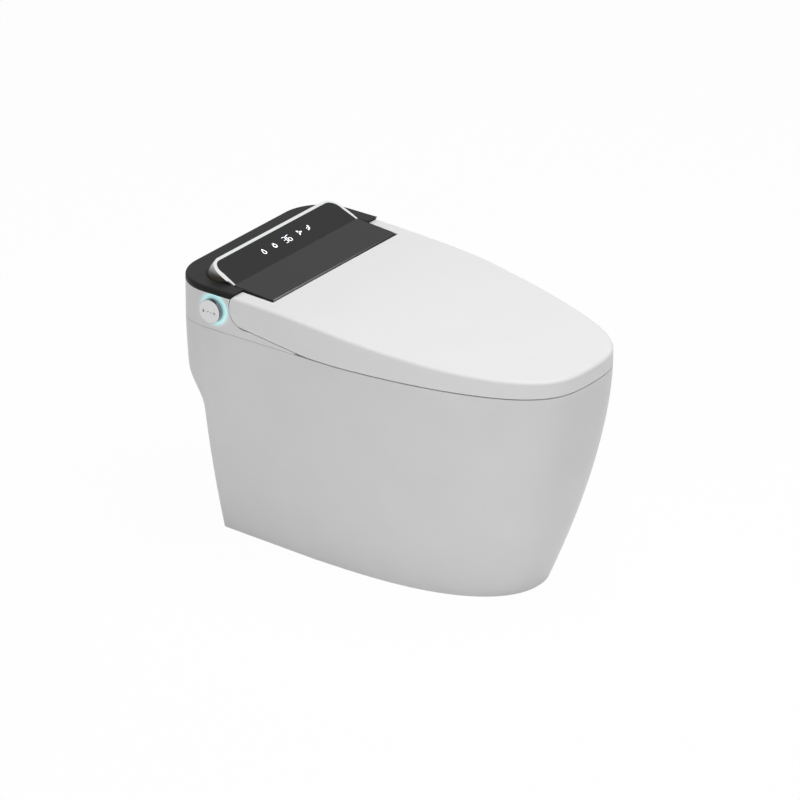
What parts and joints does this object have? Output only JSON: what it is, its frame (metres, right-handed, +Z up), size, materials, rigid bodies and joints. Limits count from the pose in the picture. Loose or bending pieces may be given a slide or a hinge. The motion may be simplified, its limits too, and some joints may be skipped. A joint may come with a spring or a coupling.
{
  "type": "smart toilet with heated seat",
  "caption": "Floor-standing smart toilet with heated seat, soft-closing lid on long arms, black rear display, press-and-turn side knob, washing wands and warm-air dryer.",
  "frame": {"origin": "centre of the waste outlet at floor level", "axes": "+Z up; the seated person faces -Y, so the front of the pan is -Y; the side knob is on the -X side, at the seated person's right hand"},
  "size_m": [0.414, 0.72, 0.4975],
  "materials": {
    "glazed_china": "glossy glaze",
    "white_casing": "gloss white moulding",
    "white_lid": "gloss white moulding",
    "seat_plastic": "satin gloss",
    "black_casing": "satin black moulding",
    "silver_hood": "silver paint",
    "chrome_trim": "bright plating",
    "display_glass": "black printed glass",
    "knob_face": "pearl",
    "light_ring": "translucent, lit",
    "night_lens": "translucent",
    "dark_plastic": "moulded",
    "grey_plastic": "moulded",
    "wand_plastic": "smooth",
    "steel": "machined",
    "motor_case": "coated",
    "brass_fitting": "machined",
    "rubber": "moulded",
    "pad_rubber": "moulded",
    "heater_foil": "foil",
    "heater_element": "pressed fins",
    "circuit": "solder-masked board",
    "tank_plastic": "moulded",
    "pipe_plastic": "extruded",
    "acetal": "moulded"
  },
  "bodies": {
    "toilet": {"ceramic_body": "glazed_china", "rear_housing": "white_casing", "top_cover": "black_casing", "display_hood": "silver_hood", "chrome_strip": "chrome_trim", "display_glass": "display_glass", "front_fascia": "black_casing", "lid_motor": "motor_case", "seat_motor": "motor_case", "knob_light_ring": "light_ring", "knob_encoder": "dark_plastic", "base_tray": "grey_plastic", "tray_gasket": "rubber", "tray_bolts": "steel", "cover_screws": "steel", "wand_steppers": "motor_case", "wand_cradle": "grey_plastic", "dryer_duct": "grey_plastic", "dryer_heater": "heater_element", "blower_housing": "dark_plastic", "blower_motor": "motor_case", "water_heater": "tank_plastic", "control_box": "dark_plastic", "control_board": "circuit", "power_supply": "motor_case", "deodoriser": "dark_plastic", "diverter_valve": "acetal", "water_pipes": "pipe_plastic", "inlet_valve": "brass_fitting", "wall_nuts": "brass_fitting", "power_gland": "dark_plastic", "flush_pump": "dark_plastic", "flush_pipe": "pipe_plastic", "display_module": "circuit", "night_light": "night_lens", "outlet_seal": "rubber"},
    "lid": {"lid_shell": "white_lid", "lid_liner": "white_lid", "lid_bumpers": "pad_rubber", "lid_bushes": "acetal", "lid_drive_shaft": "steel"},
    "seat": {"seat_top": "seat_plastic", "seat_bottom": "seat_plastic", "seat_heater": "heater_foil", "seat_bumpers": "pad_rubber", "seat_bush": "acetal", "seat_drive_shaft": "steel", "seat_sensor": "dark_plastic"},
    "knob_slider": {"knob_plunger": "acetal"},
    "knob": {"knob_cap": "knob_face", "knob_shell": "chrome_trim"},
    "wand_left_carriage": {"wand_left": "wand_plastic", "wand_tip_left": "wand_plastic"},
    "wand_right_carriage": {"wand_right": "wand_plastic", "wand_tip_right": "wand_plastic"},
    "pinion_left_wheel": {"pinion_left": "acetal"},
    "pinion_right_wheel": {"pinion_right": "acetal"},
    "fan": {"blower_impeller": "dark_plastic"},
    "flap": {"dryer_flap": "grey_plastic"}
  },
  "joints": [
    {"name": "lid_hinge", "type": "hinge", "parent": "toilet", "child": "lid", "pos_m": [0, 0.127, 0.446], "axis": [-1, 0, 0], "range_deg": [0, 100]},
    {"name": "seat_hinge", "type": "hinge", "parent": "toilet", "child": "seat", "pos_m": [0, 0.127, 0.446], "axis": [-1, 0, 0], "range_deg": [0, 95]},
    {"name": "knob_press", "type": "slide", "parent": "toilet", "child": "knob_slider", "axis": [1, 0, 0], "range_m": [0, 0.0025], "stiffness_N_per_m": 400, "springref_m": -0.0015},
    {"name": "knob_turn", "type": "hinge", "parent": "knob_slider", "child": "knob", "pos_m": [-0.205, 0.191, 0.435], "axis": [-1, 0, 0], "continuous": true},
    {"name": "wand_left_slide", "type": "slide", "parent": "toilet", "child": "wand_left_carriage", "axis": [0, -0.8829, -0.4695], "range_m": [0, 0.075]},
    {"name": "wand_right_slide", "type": "slide", "parent": "toilet", "child": "wand_right_carriage", "axis": [0, -0.8829, -0.4695], "range_m": [0, 0.075]},
    {"name": "pinion_left_turn", "type": "hinge", "parent": "toilet", "child": "pinion_left_wheel", "pos_m": [-0.014, 0.10146, 0.41731], "axis": [-1, 0, 0], "range_deg": [-1, 478]},
    {"name": "pinion_right_turn", "type": "hinge", "parent": "toilet", "child": "pinion_right_wheel", "pos_m": [0.014, 0.10146, 0.41731], "axis": [-1, 0, 0], "range_deg": [-1, 478]},
    {"name": "fan_spin", "type": "hinge", "parent": "toilet", "child": "fan", "pos_m": [-0.06, 0.192, 0.415], "axis": [0, 0, 1], "continuous": true},
    {"name": "flap_swing", "type": "hinge", "parent": "toilet", "child": "flap", "pos_m": [-0.06, 0.07566, 0.39], "axis": [-1, 0, 0], "range_deg": [0, 50], "stiffness_Nm_per_rad": 0.002, "springref_deg": -28.65}
  ],
  "couplings": [
    {"joint": "seat_hinge", "follows": "lid_hinge", "ratio": 0.95},
    {"joint": "pinion_left_turn", "follows": "wand_left_slide", "rad_per_m": 111.11},
    {"joint": "pinion_right_turn", "follows": "wand_right_slide", "rad_per_m": 111.11}
  ]
}
